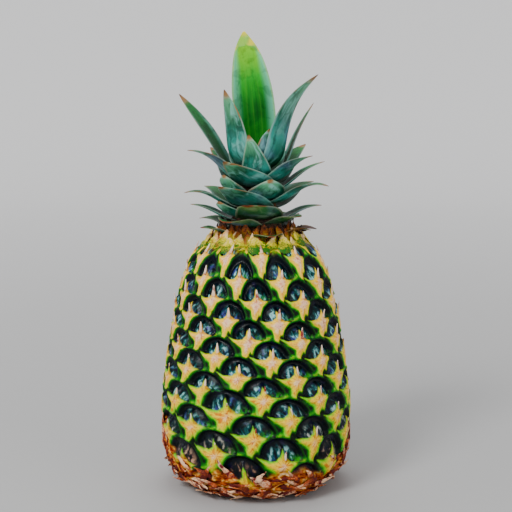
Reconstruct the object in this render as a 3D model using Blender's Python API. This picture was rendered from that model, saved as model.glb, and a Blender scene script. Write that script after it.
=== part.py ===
"""Fresh pineapple standing on the small flat spot at its base.

The fruit is one solid with a low relief of spiralling eyes. The crown is a
short tapering stem with separate leaves stacked around it. Every size is in
millimetres until a mesh is made, the Z axis is the plant's own axis, and the
origin is the centre of the flat spot.
"""

import math
from dataclasses import dataclass

import bmesh
import bpy
from mathutils import Vector

MM = 0.001
SHARP_ANGLE = math.radians(50)

# Fruit
FRUIT_HEIGHT = 162.0
FRUIT_RADIUS = 61.5
FLAT_SPOT_RADIUS = 37.0
FRUIT_TOP_RADIUS = 27.0
EYE_RELIEF = 3.6
EYE_FULLNESS = 0.75
FOOT_FADE = 0.10
TOP_FADE = 0.12
FRUIT_SEGMENTS = 80
FRUIT_RINGS = 30
END_RING_CROWDING = 0.35

# The fruit's outline: share of the height, share of the greatest radius
FRUIT_OUTLINE = (
    (0.025, 0.78), (0.06, 0.90), (0.12, 0.98), (0.22, 1.01), (0.36, 1.015), (0.50, 0.97),
    (0.66, 0.90), (0.78, 0.835), (0.87, 0.76), (0.93, 0.69), (0.97, 0.60),
)

# Eyes: two crossing families of spirals, each a whole number round the fruit
RIGHT_SPIRALS = 10
LEFT_SPIRALS = 9
EYE_STEP_ANGLE = 14.1
EYE_STEP_DOWN = 11.5
EYE_START_ANGLE = 11.7
EYE_START_RISE = 11.2

# How the lattice drifts: crowding with height, and turns in degrees or rises in mm
EYE_CROWDING = 0.09
EYE_END_CROWDING = -0.135
EYE_FRONT_TURN = -1.4
EYE_FRONT_TWIST = 11.0
EYE_SIDE_TURN = 2.0
EYE_SIDE_TWIST = 7.0
EYE_SIDE_RISE = 2.0
EYE_SIDE_SLOPE = -4.0
EYE_FRONT_SLOPE = -4.0

# Crown
STEM_TOP_RADIUS = 5.0
STEM_TAPER = 0.30
STEM_TIP_LENGTH = 5.0
STEM_SEGMENTS = 20
CLEARANCE = 0.3
LEAF_THICKNESS = 0.7
LEAF_EDGE_THICKNESS = 0.4
LEAF_LENGTH_SCALE = 1.0
LEAF_WIDTH_SCALE = 1.0
BELLY_LEAN = 74.0
BELLY_LENGTH = 22.0
WIDEST_WRAP = math.radians(72)
TIP_TAPER = 0.8
TIP_HALF_WIDTH = 0.35
STACK_STEP = 0.2
STACK_TURN_MARGIN = 11.0
EDGE_LIFT = 0.3
FREE_FROM = 0.12
FREE_BY = 0.6
LEAF_STATIONS = 9
STATION_SPREAD = 0.9
NORMAL_REACH = 0.01
LEAF_COLUMNS = 4
SPINE_SAMPLES = 40
CROWN_LIFT = 0.6


@dataclass(frozen=True)
class Leaf:
    """One crown leaf and its posture, listed from the heart outwards.

    azimuth is measured from the front (-Y) towards +X, lean from upright, and
    sideways is how far the tip swings along the crown, all as seen from outside.
    """

    azimuth: float
    length: float
    half_width: float
    base_lean: float
    tip_lean: float
    bend: float = 1.0
    sideways: float = 0.0
    roll: float = 0.0
    fullness: float = 1.5
    channel: float = 20.0
    drop: float = 0.0


CROWN_LEAVES = (
    Leaf(178, 91, 16.0, -4, -12, bend=0.7, sideways=8, fullness=4.2, channel=22),
    Leaf(34, 30, 12.0, 4, -12, fullness=3.5),
    Leaf(-52, 57, 14.0, -4, 16, bend=1.5, fullness=2.3, sideways=-3),
    Leaf(62, 75.5, 16.0, -4, 56, bend=1.5, fullness=2.3, drop=1.6),
    Leaf(-146, 42, 13.5, 8, 18, bend=1.6),
    Leaf(140, 38, 13.5, 8, 24, bend=1.6),
    Leaf(98, 58, 12.0, 8, 34, bend=1.2),
    Leaf(-105, 70, 12.0, 18, 42, bend=0.8, roll=-22, fullness=1.8),
    Leaf(3, 36, 13.0, 8, 2, sideways=-6, fullness=1.3),
    Leaf(178, 46, 17.0, 14, 48, bend=1.4),
    Leaf(-74, 43, 17.0, 20, 88, bend=1.5, fullness=2.0),
    Leaf(62, 37, 17.0, 20, 80, bend=1.5, fullness=2.0),
    Leaf(-2, 29, 17.0, 20, 44, sideways=-19, fullness=1.9, channel=26),
    Leaf(132, 44, 17.0, 20, 66, bend=1.3),
    Leaf(-138, 44, 17.0, 20, 70, bend=1.3),
    Leaf(94, 39, 13.5, 26, 76, bend=1.2),
    Leaf(-54, 22, 14.0, 22, 2, fullness=3.6),
    Leaf(21, 22, 15.0, 22, 0, fullness=3.6),
    Leaf(168, 36, 17.5, 26, 76, bend=1.3),
    Leaf(67, 40, 15.0, 30, 108, bend=1.5),
    Leaf(-12, 29, 17.0, 26, 60, sideways=-15, fullness=2.0, channel=26),
    Leaf(-80, 35, 14.0, 30, 106, bend=1.4),
    Leaf(124, 36, 16.5, 30, 88, bend=1.4),
    Leaf(-132, 35, 16.5, 30, 90, bend=1.4),
    Leaf(-54, 18, 12.5, 30, 10, fullness=3.2),
    Leaf(9, 29, 18.0, 36, 72, sideways=-12, fullness=2.1, channel=28),
    Leaf(92, 28, 13.5, 38, 92, bend=1.3),
    Leaf(-88, 28, 13.5, 36, 86, bend=1.2),
    Leaf(176, 29, 17.0, 40, 96, bend=1.3),
    Leaf(50, 21, 14.0, 42, 86, fullness=2.0),
    Leaf(-28, 24, 16.5, 44, 98, fullness=2.1, channel=24),
    Leaf(-108, 22, 13.5, 48, 102, fullness=1.6),
    Leaf(138, 24, 16.0, 46, 102, fullness=1.8),
    Leaf(-152, 23, 16.0, 46, 102, fullness=1.8),
    Leaf(-68, 20, 13.5, 50, 90, fullness=1.5),
    Leaf(74, 22, 13.5, 52, 102, fullness=1.4),
    Leaf(16, 18, 14.0, 56, 104, fullness=1.5, channel=24),
    Leaf(105, 18, 13.5, 58, 104, fullness=1.5),
)


def clear_scene():
    """Remove whatever the open file holds."""
    for scene_object in list(bpy.data.objects):
        bpy.data.objects.remove(scene_object, do_unlink=True)


def smoothstep(low, high, value):
    """Ease from 0 at low to 1 at high."""
    share = min(1.0, max(0.0, (value - low) / (high - low)))
    return share * share * (3.0 - 2.0 * share)


def make_material(name, colour, roughness):
    """Return a Principled material of one colour."""
    material = bpy.data.materials.new(name)
    material.use_nodes = True
    shader = material.node_tree.nodes["Principled BSDF"]
    shader.inputs["Base Color"].default_value = (*colour, 1.0)
    shader.inputs["Roughness"].default_value = roughness
    shader.inputs["Metallic"].default_value = 0.0
    return material


def add_solid(name, verts, faces, material):
    """Make one closed object from vertices in millimetres, faces pointing out."""
    mesh = bpy.data.meshes.new(name)
    solid = bmesh.new()
    corners = [solid.verts.new(Vector(vert) * MM) for vert in verts]
    for face in faces:
        solid.faces.new([corners[index] for index in face])
    bmesh.ops.recalc_face_normals(solid, faces=solid.faces)
    solid.to_mesh(mesh)
    solid.free()
    mesh.materials.append(material)
    mesh.shade_smooth()
    mesh.set_sharp_from_angle(angle=SHARP_ANGLE)
    body = bpy.data.objects.new(name, mesh)
    bpy.context.scene.collection.objects.link(body)
    return body


# ---------------------------------------------------------------- fruit


def fruit_outline_points():
    """Return the outline's control points in millimetres, from the foot up."""
    points = [(0.0, FLAT_SPOT_RADIUS)]
    points += [(share * FRUIT_HEIGHT, width * FRUIT_RADIUS) for share, width in FRUIT_OUTLINE]
    points.append((FRUIT_HEIGHT, FRUIT_TOP_RADIUS))
    return points


def fruit_radius(height):
    """Return the outline's radius at a height, by a Catmull-Rom curve."""
    points = fruit_outline_points()
    last_span = len(points) - 2
    span = max(index for index in range(last_span + 1) if points[index][0] <= height)
    before = points[max(span - 1, 0)]
    low, high = points[span], points[span + 1]
    after = points[min(span + 2, last_span + 1)]
    reach = high[0] - low[0]
    low_slope = (high[1] - before[1]) / (high[0] - before[0])
    high_slope = (after[1] - low[1]) / (after[0] - low[0])
    share = (height - low[0]) / reach
    square, cube = share * share, share ** 3
    return (
        low[1] * (2 * cube - 3 * square + 1)
        + low_slope * reach * (cube - 2 * square + share)
        + high[1] * (3 * square - 2 * cube)
        + high_slope * reach * (cube - square)
    )


def eye_relief(angle, height):
    """Return the bump at a point: 1 on an eye's middle, 0 in the furrows.

    The point is put into the lattice's own steps, along each spiral family,
    where an eye sits at every pair of whole numbers. The spirals crowd towards
    both ends of the fruit and lean a little round it, as they grew.
    """
    half = FRUIT_HEIGHT / 2
    rise = height / half - 1.0
    front, side = math.cos(angle), math.sin(angle)
    turn = math.degrees(angle) - EYE_START_ANGLE
    turn += (EYE_FRONT_TURN + EYE_FRONT_TWIST * rise) * front
    turn += (EYE_SIDE_TURN + EYE_SIDE_TWIST * rise) * side
    grown = half * rise * (1.0 + EYE_CROWDING * rise + EYE_END_CROWDING * rise * rise)
    grown += (EYE_SIDE_RISE + EYE_SIDE_SLOPE * rise) * side + EYE_FRONT_SLOPE * rise * front
    down = EYE_START_RISE - grown
    left_angle = (360.0 - LEFT_SPIRALS * EYE_STEP_ANGLE) / RIGHT_SPIRALS
    left_down = LEFT_SPIRALS * EYE_STEP_DOWN / RIGHT_SPIRALS
    area = EYE_STEP_ANGLE * left_down + left_angle * EYE_STEP_DOWN
    right_steps = (turn * left_down + left_angle * down) / area
    left_steps = (EYE_STEP_ANGLE * down - EYE_STEP_DOWN * turn) / area
    waves = math.cos(math.tau * right_steps) + math.cos(math.tau * left_steps)
    return smoothstep(0.0, EYE_FULLNESS, (waves + 2.0) / 4.0)


def build_fruit(material):
    """Turn the outline, raise the eyes, and close it with flat ends."""
    verts = []
    for ring in range(FRUIT_RINGS + 1):
        share = ring / FRUIT_RINGS
        crowding = END_RING_CROWDING * math.sin(math.tau * share) / math.tau
        height = FRUIT_HEIGHT * (share - crowding)
        radius = fruit_radius(height)
        fade = smoothstep(0.0, FOOT_FADE, share) * smoothstep(0.0, TOP_FADE, 1.0 - share)
        for segment in range(FRUIT_SEGMENTS):
            angle = math.tau * segment / FRUIT_SEGMENTS
            reach = radius - EYE_RELIEF * fade * (1.0 - eye_relief(angle, height))
            verts.append((reach * math.sin(angle), -reach * math.cos(angle), height))
    faces = []
    for ring in range(FRUIT_RINGS):
        low, high = ring * FRUIT_SEGMENTS, (ring + 1) * FRUIT_SEGMENTS
        for segment in range(FRUIT_SEGMENTS):
            after = (segment + 1) % FRUIT_SEGMENTS
            faces.append((low + segment, low + after, high + after, high + segment))
    faces.append(tuple(reversed(range(FRUIT_SEGMENTS))))
    faces.append(tuple(range(FRUIT_RINGS * FRUIT_SEGMENTS, len(verts))))
    return add_solid("fruit_body", verts, faces, material)


# ---------------------------------------------------------------- crown


def leaf_lean(leaf, share):
    """Return the lean from upright, in radians, at a share of the length.

    Every leaf leaves the stem by the same outward belly before it turns up.
    """
    blade = leaf.base_lean + (leaf.tip_lean - leaf.base_lean) * share ** leaf.bend
    rise = smoothstep(0.0, BELLY_LENGTH, share * leaf.length * LEAF_LENGTH_SCALE)
    return math.radians(BELLY_LEAN + (blade - BELLY_LEAN) * rise)


def leaf_spine(leaf):
    """Return the centre line as (out, up) steps from the leaf's own foot."""
    length = leaf.length * LEAF_LENGTH_SCALE
    step = length / SPINE_SAMPLES
    points = [(0.0, 0.0)]
    for sample in range(SPINE_SAMPLES):
        lean = leaf_lean(leaf, (sample + 0.5) / SPINE_SAMPLES)
        out, up = points[-1]
        points.append((out + step * math.sin(lean), up + step * math.cos(lean)))
    return points


def leaf_half_width(leaf, share, radius):
    """Return half the blade's width, which can't wrap far round the stem."""
    taper = (1.0 - share ** leaf.fullness) ** TIP_TAPER
    wide = leaf.half_width * LEAF_WIDTH_SCALE * taper
    return max(min(wide, WIDEST_WRAP * radius), TIP_HALF_WIDTH)


def sideways_shift(leaf, share):
    """Return how far the centre line has swung along the crown."""
    return leaf.sideways * LEAF_LENGTH_SCALE * share ** 2


class CrownStack:
    """Sets every leaf's foot on the stem, working down from the heart.

    Each leaf slides down the stem until it clears all the leaves inside it that
    stand in front of or behind it, so the stack has no overlaps at any size.
    """

    def __init__(self, leaves):
        self.leaves = leaves
        self.drops = []
        for index in range(len(leaves)):
            self.drops.append(self._settle(index))

    def stem_radius(self, drop):
        """Return the stem's radius at a distance below its highest leaf."""
        return STEM_TOP_RADIUS + STEM_TAPER * drop

    def stations(self, index, drop):
        """Return (out, drop, azimuth, half angle, edge lift) along one leaf."""
        leaf = self.leaves[index]
        foot = self.stem_radius(drop) + CLEARANCE + LEAF_THICKNESS / 2
        rows = []
        for sample, (out, up) in enumerate(leaf_spine(leaf)):
            share = sample / SPINE_SAMPLES
            radius = foot + out
            swing = math.degrees(sideways_shift(leaf, share) / radius)
            wide = leaf_half_width(leaf, share, radius)
            reach = math.degrees(wide / radius)
            curl = 1.0 / leaf.channel - math.cos(leaf_lean(leaf, share)) / radius
            lift = max(0.0, wide * wide * EDGE_LIFT * curl) * smoothstep(FREE_FROM, FREE_BY, share)
            rows.append((radius, drop - up, leaf.azimuth + swing, reach, lift))
        return rows

    def _clears(self, rows, others):
        """Say whether two leaves keep a leaf's thickness and the clearance apart."""
        for out, drop, azimuth, reach, lift in rows:
            apart = LEAF_THICKNESS + CLEARANCE + lift
            for other_out, other_drop, other_azimuth, other_reach, _ in others:
                if abs(out - other_out) > apart or abs(drop - other_drop) > apart:
                    continue
                turn = abs((azimuth - other_azimuth + 180.0) % 360.0 - 180.0)
                if turn > reach + other_reach + STACK_TURN_MARGIN:
                    continue
                if math.hypot(out - other_out, drop - other_drop) < apart:
                    return False
        return True

    def _settle(self, index):
        """Return how far below the highest leaf this one's foot lies."""
        drop = (self.drops[-1] if self.drops else 0.0) + self.leaves[index].drop
        inner = [self.stations(place, self.drops[place]) for place in range(index)]
        while True:
            rows = self.stations(index, drop)
            if all(self._clears(rows, others) for others in inner):
                return drop
            drop += STACK_STEP


def leaf_surface(leaf, stack, index, top_height, share, across):
    """Return a point of the leaf's middle surface, across running from -1 to 1.

    Near its foot the leaf lies on a cone round the stem. Further out it keeps
    its own channelled section, which rolls about the centre line.
    """
    spine = leaf_spine(leaf)
    place = min(int(share * SPINE_SAMPLES), SPINE_SAMPLES - 1)
    part = share * SPINE_SAMPLES - place
    out = spine[place][0] + part * (spine[place + 1][0] - spine[place][0])
    up = spine[place][1] + part * (spine[place + 1][1] - spine[place][1])
    drop = stack.drops[index]
    radius = stack.stem_radius(drop) + CLEARANCE + LEAF_THICKNESS / 2 + out
    height = top_height - drop + up
    width = leaf_half_width(leaf, share, radius) * across
    shift = sideways_shift(leaf, share)
    lean = leaf_lean(leaf, share)
    azimuth = math.radians(leaf.azimuth)

    angle = azimuth + (width + shift) / radius
    clasping = Vector((radius * math.sin(angle), -radius * math.cos(angle), height))

    outward = Vector((math.sin(azimuth), -math.cos(azimuth), 0.0))
    along_crown = Vector((math.cos(azimuth), math.sin(azimuth), 0.0))
    inward = -outward * math.cos(lean) + Vector((0.0, 0.0, math.sin(lean)))
    roll = math.radians(leaf.roll) * share
    side = along_crown * math.cos(roll) + inward * math.sin(roll)
    hollow = inward * math.cos(roll) - along_crown * math.sin(roll)
    bow = width / leaf.channel
    centre = outward * radius + Vector((0.0, 0.0, height)) + along_crown * shift
    free = centre + side * leaf.channel * math.sin(bow) + hollow * leaf.channel * (1.0 - math.cos(bow))
    return clasping.lerp(free, smoothstep(FREE_FROM, FREE_BY, share))


def build_leaf(name, stack, index, top_height, material):
    """Make one closed leaf: an outer skin, an inner skin and a thin rim."""
    leaf = stack.leaves[index]
    columns = LEAF_COLUMNS + 1
    outer, inner = [], []
    for station in range(LEAF_STATIONS + 1):
        share = (station / LEAF_STATIONS) ** STATION_SPREAD
        before = max(share - NORMAL_REACH, 0.0)
        after = min(share + NORMAL_REACH, 1.0)
        for column in range(columns):
            across = 2.0 * column / LEAF_COLUMNS - 1.0
            point = leaf_surface(leaf, stack, index, top_height, share, across)
            low = leaf_surface(leaf, stack, index, top_height, before, across)
            high = leaf_surface(leaf, stack, index, top_height, after, across)
            left = leaf_surface(leaf, stack, index, top_height, share, across - NORMAL_REACH)
            right = leaf_surface(leaf, stack, index, top_height, share, across + NORMAL_REACH)
            normal = (high - low).cross(right - left).normalized()
            thinning = max(across ** 2, share ** 2)
            thick = LEAF_THICKNESS + (LEAF_EDGE_THICKNESS - LEAF_THICKNESS) * thinning
            outer.append(point + normal * thick / 2)
            inner.append(point - normal * thick / 2)
    skin = len(outer)
    faces = []
    for station in range(LEAF_STATIONS):
        for column in range(LEAF_COLUMNS):
            corner = station * columns + column
            quad = (corner, corner + 1, corner + columns + 1, corner + columns)
            faces.append(quad)
            faces.append(tuple(skin + place for place in reversed(quad)))
    rim = list(range(columns))
    rim += [station * columns + LEAF_COLUMNS for station in range(1, LEAF_STATIONS + 1)]
    rim += [LEAF_STATIONS * columns + column for column in range(LEAF_COLUMNS - 1, -1, -1)]
    rim += [station * columns for station in range(LEAF_STATIONS - 1, 0, -1)]
    for place, low in enumerate(rim):
        high = rim[(place + 1) % len(rim)]
        faces.append((high, low, skin + low, skin + high))
    return add_solid(name, outer + inner, faces, material)


def build_stem(stack, top_height, material):
    """Turn the crown's stem, from just above the fruit to a small point."""
    foot = FRUIT_HEIGHT + CLEARANCE
    foot_radius = stack.stem_radius(top_height - foot)
    rings = ((foot, foot_radius), (top_height, STEM_TOP_RADIUS))
    verts = []
    for height, radius in rings:
        for segment in range(STEM_SEGMENTS):
            angle = math.tau * segment / STEM_SEGMENTS
            verts.append((radius * math.sin(angle), -radius * math.cos(angle), height))
    verts.append((0.0, 0.0, top_height + STEM_TIP_LENGTH))
    tip = len(verts) - 1
    faces = [tuple(reversed(range(STEM_SEGMENTS)))]
    for segment in range(STEM_SEGMENTS):
        after = (segment + 1) % STEM_SEGMENTS
        faces.append((segment, after, STEM_SEGMENTS + after, STEM_SEGMENTS + segment))
        faces.append((STEM_SEGMENTS + segment, STEM_SEGMENTS + after, tip))
    return add_solid("crown_stem", verts, faces, material)


def main():
    """Build the fruit, the crown's stem and every leaf."""
    clear_scene()
    rind = make_material("rind", (0.36, 0.38, 0.06), 0.5)
    stem = make_material("stem", (0.42, 0.45, 0.24), 0.6)
    blade = make_material("leaf", (0.05, 0.24, 0.15), 0.45)
    build_fruit(rind)
    stack = CrownStack(CROWN_LEAVES)
    top_height = FRUIT_HEIGHT + CLEARANCE + CROWN_LIFT + stack.drops[-1]
    build_stem(stack, top_height, stem)
    for index in range(len(CROWN_LEAVES)):
        build_leaf(f"crown_leaf_{index + 1:02d}", stack, index, top_height, blade)


if __name__ == "__main__":
    main()
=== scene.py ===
"""A whole pineapple: a patterned fruit, its dried foot and neck, and a leafy crown.

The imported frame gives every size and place. Each sub-assembly is a class that
models its own pieces round the frame's nodes and then dresses them.
"""

import logging
import math
import random
from dataclasses import dataclass, field
from enum import Enum

import bmesh
import bpy
import numpy as np
from mathutils import Matrix, Vector, noise


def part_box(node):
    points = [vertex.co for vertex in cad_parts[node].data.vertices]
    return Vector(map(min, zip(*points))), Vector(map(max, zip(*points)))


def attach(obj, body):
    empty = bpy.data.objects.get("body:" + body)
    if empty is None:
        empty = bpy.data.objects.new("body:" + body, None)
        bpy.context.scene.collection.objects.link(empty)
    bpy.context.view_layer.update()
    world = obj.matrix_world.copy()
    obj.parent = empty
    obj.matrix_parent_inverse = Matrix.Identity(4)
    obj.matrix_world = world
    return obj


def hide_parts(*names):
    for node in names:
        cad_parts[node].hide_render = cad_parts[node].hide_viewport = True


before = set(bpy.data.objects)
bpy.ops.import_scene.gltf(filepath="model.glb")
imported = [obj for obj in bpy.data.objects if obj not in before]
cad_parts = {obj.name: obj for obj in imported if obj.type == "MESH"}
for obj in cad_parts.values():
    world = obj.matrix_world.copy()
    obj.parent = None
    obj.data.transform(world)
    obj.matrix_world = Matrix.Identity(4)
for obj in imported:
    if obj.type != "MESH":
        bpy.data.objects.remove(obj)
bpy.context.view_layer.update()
LOG = logging.getLogger("pineapple")

MM = 0.001
BODY = "root"
FOLD_SEED = 17
OUTWARD = Matrix(((1, 0, 0, 0), (0, 0, -1, 0), (0, 1, 0, 0), (0, 0, 0, 1)))
Colour = tuple[float, float, float]
Socket = bpy.types.NodeSocket
Stops = tuple[tuple[float, Colour], ...]


class Slot(Enum):
    """Two material slot names, rind and leaf, which no piece here uses."""

    RIND = "rind"
    LEAF = "leaf"


def paint(red: int, green: int, blue: int) -> Colour:
    """Turn a paint-chart colour, 0 to 255, into the light the shader works in.

    Args:
        red: The chart's red.
        green: The chart's green.
        blue: The chart's blue.

    Returns:
        The three linear shares.
    """

    def one(value: int) -> float:
        """Return one channel's linear share."""
        share = value / 255.0
        return share / 12.92 if share <= 0.04045 else ((share + 0.055) / 1.055) ** 2.4

    return one(red), one(green), one(blue)


def smooth(low: float, high: float, value: np.ndarray) -> np.ndarray:
    """Ease from 0 at low to 1 at high.

    Args:
        low: Where the ease starts.
        high: Where it ends.
        value: The numbers to ease.

    Returns:
        The eased numbers.
    """
    share = np.clip((value - low) / (high - low), 0.0, 1.0)
    return share * share * (3.0 - 2.0 * share)


# ---------------------------------------------------------------- workshop


def select_only(piece: bpy.types.Object | None) -> None:
    """Deselect everything, then select one piece and make it active.

    Args:
        piece: The piece to work on, or None to leave nothing selected.
    """
    if bpy.context.object is not None and bpy.context.object.mode != "OBJECT":
        bpy.ops.object.mode_set(mode="OBJECT")
    bpy.ops.object.select_all(action="DESELECT")
    if piece is not None:
        bpy.context.view_layer.objects.active = piece
        piece.select_set(True)


def shade_smooth(piece: bpy.types.Object) -> None:
    """Shade one piece smooth."""
    select_only(piece)
    bpy.ops.object.shade_smooth()


def unit(line: np.ndarray) -> np.ndarray:
    """Return a line's direction, one long."""
    return line / max(np.linalg.norm(line), 1e-9)


def apply_modifier(piece: bpy.types.Object, kind: str, **settings: object) -> None:
    """Add a modifier, set it and apply it.

    Args:
        piece: The piece that takes it.
        kind: Blender's name for the modifier type.
        **settings: Its properties.
    """
    select_only(piece)
    modifier = piece.modifiers.new(kind.title(), kind)
    for name, value in settings.items():
        setattr(modifier, name, value)
    bpy.ops.object.modifier_apply(modifier=modifier.name)


def places(mesh: bpy.types.Mesh) -> np.ndarray:
    """Return a mesh's vertex places, one row each, in metres."""
    flat = np.empty(len(mesh.vertices) * 3, dtype=np.float64)
    mesh.vertices.foreach_get("co", flat)
    return flat.reshape(-1, 3)


def put(mesh: bpy.types.Mesh, rows: np.ndarray) -> None:
    """Write vertex places back to a mesh."""
    mesh.vertices.foreach_set("co", rows.astype(np.float32).ravel())
    mesh.update()


def note(mesh: bpy.types.Mesh, name: str, values: np.ndarray) -> None:
    """Keep one number for each vertex as a named attribute.

    Args:
        mesh: The mesh that keeps them.
        name: The attribute's name, as the finishes read it.
        values: One number for each vertex.
    """
    layer = mesh.attributes.get(name) or mesh.attributes.new(name, "FLOAT", "POINT")
    layer.data.foreach_set("value", np.asarray(values, dtype=np.float32))


def add_object(name: str, data: bpy.types.ID) -> bpy.types.Object:
    """Put new data in the scene under a name, and return its object."""
    made = bpy.data.objects.new(name, data)
    bpy.context.scene.collection.objects.link(made)
    return made


def join_copies(name: str, template: bpy.types.Object, stands: list[tuple[Matrix, float]]) -> bpy.types.Object:
    """Copy a modelled shape to each stand, then join the copies as one piece.

    Args:
        name: The joined piece's name.
        template: The shape that was modelled once, which is removed.
        stands: Each copy's place as a matrix, and its tone from 0 to 1.

    Returns:
        The joined piece, at the origin.
    """
    copies = []
    for matrix, tone in stands:
        mesh = template.data.copy()
        mesh.transform(matrix)
        note(mesh, "tone", np.full(len(mesh.vertices), tone))
        copies.append(add_object(name, mesh))
    bpy.data.objects.remove(template)
    select_only(copies[0])
    for copy in copies:
        copy.select_set(True)
    bpy.ops.object.join()
    joined = bpy.context.object
    joined.name = joined.data.name = name
    return joined


def crumple(piece: bpy.types.Object, amount: float, grain: float) -> None:
    """Shake a dried piece's surface, so that no two copies are alike.

    Args:
        piece: The joined piece.
        amount: The furthest that a point moves, in millimetres.
        grain: Folds in a millimetre.
    """
    noise.seed_set(FOLD_SEED)
    rows = places(piece.data)
    for index, row in enumerate(rows):
        shift = noise.noise_vector(Vector(row) / MM * grain)
        rows[index] = row + np.array(shift) * amount * MM
    put(piece.data, rows)


def dress(piece: bpy.types.Object, finish: "ScaleFinish", *folds: tuple[float, float]) -> bpy.types.Object:
    """Give a joined piece of scales its finish and its folds.

    Args:
        piece: The joined piece.
        finish: The scales' finish.
        *folds: How far each set of folds moves a point, and how fine it is.

    Returns:
        The same piece.
    """
    piece.data.materials.append(finish.build())
    for amount, grain in folds:
        crumple(piece, amount, grain)
    return piece


def hand_over(piece: bpy.types.Object, nodes: tuple[str, ...] = ()) -> None:
    """Attach a finished piece to the body, and hide the CAD nodes that it replaces.

    Args:
        piece: The finished piece.
        nodes: The CAD nodes that it stands for.
    """
    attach(piece, BODY)
    if nodes:
        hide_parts(*nodes)


class Number:
    """A node's number on a sheet, which adds and multiplies like any other."""

    def __init__(self, sheet: "Recipe", socket: Socket) -> None:
        """Keep the socket and the sheet that it is on."""
        self.sheet, self.socket = sheet, socket

    def __add__(self, other: object) -> "Number":
        """Return the sum."""
        return self.sheet.sum("ADD", self, other)

    def __radd__(self, other: object) -> "Number":
        """Return the sum, with this one second."""
        return self.sheet.sum("ADD", other, self)

    def __sub__(self, other: object) -> "Number":
        """Return the difference."""
        return self.sheet.sum("SUBTRACT", self, other)

    def __rsub__(self, other: object) -> "Number":
        """Return the difference, with this one second."""
        return self.sheet.sum("SUBTRACT", other, self)

    def __mul__(self, other: object) -> "Number":
        """Return the product."""
        return self.sheet.sum("MULTIPLY", self, other)

    def __pow__(self, other: object) -> "Number":
        """Return the power."""
        return self.sheet.sum("POWER", self, other)

    def __abs__(self) -> "Number":
        """Return the size without its sign."""
        return self.sheet.sum("ABSOLUTE", self)

    def held(self) -> "Number":
        """Return the same sum, held between 0 and 1."""
        self.socket.node.use_clamp = True
        return self


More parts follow.
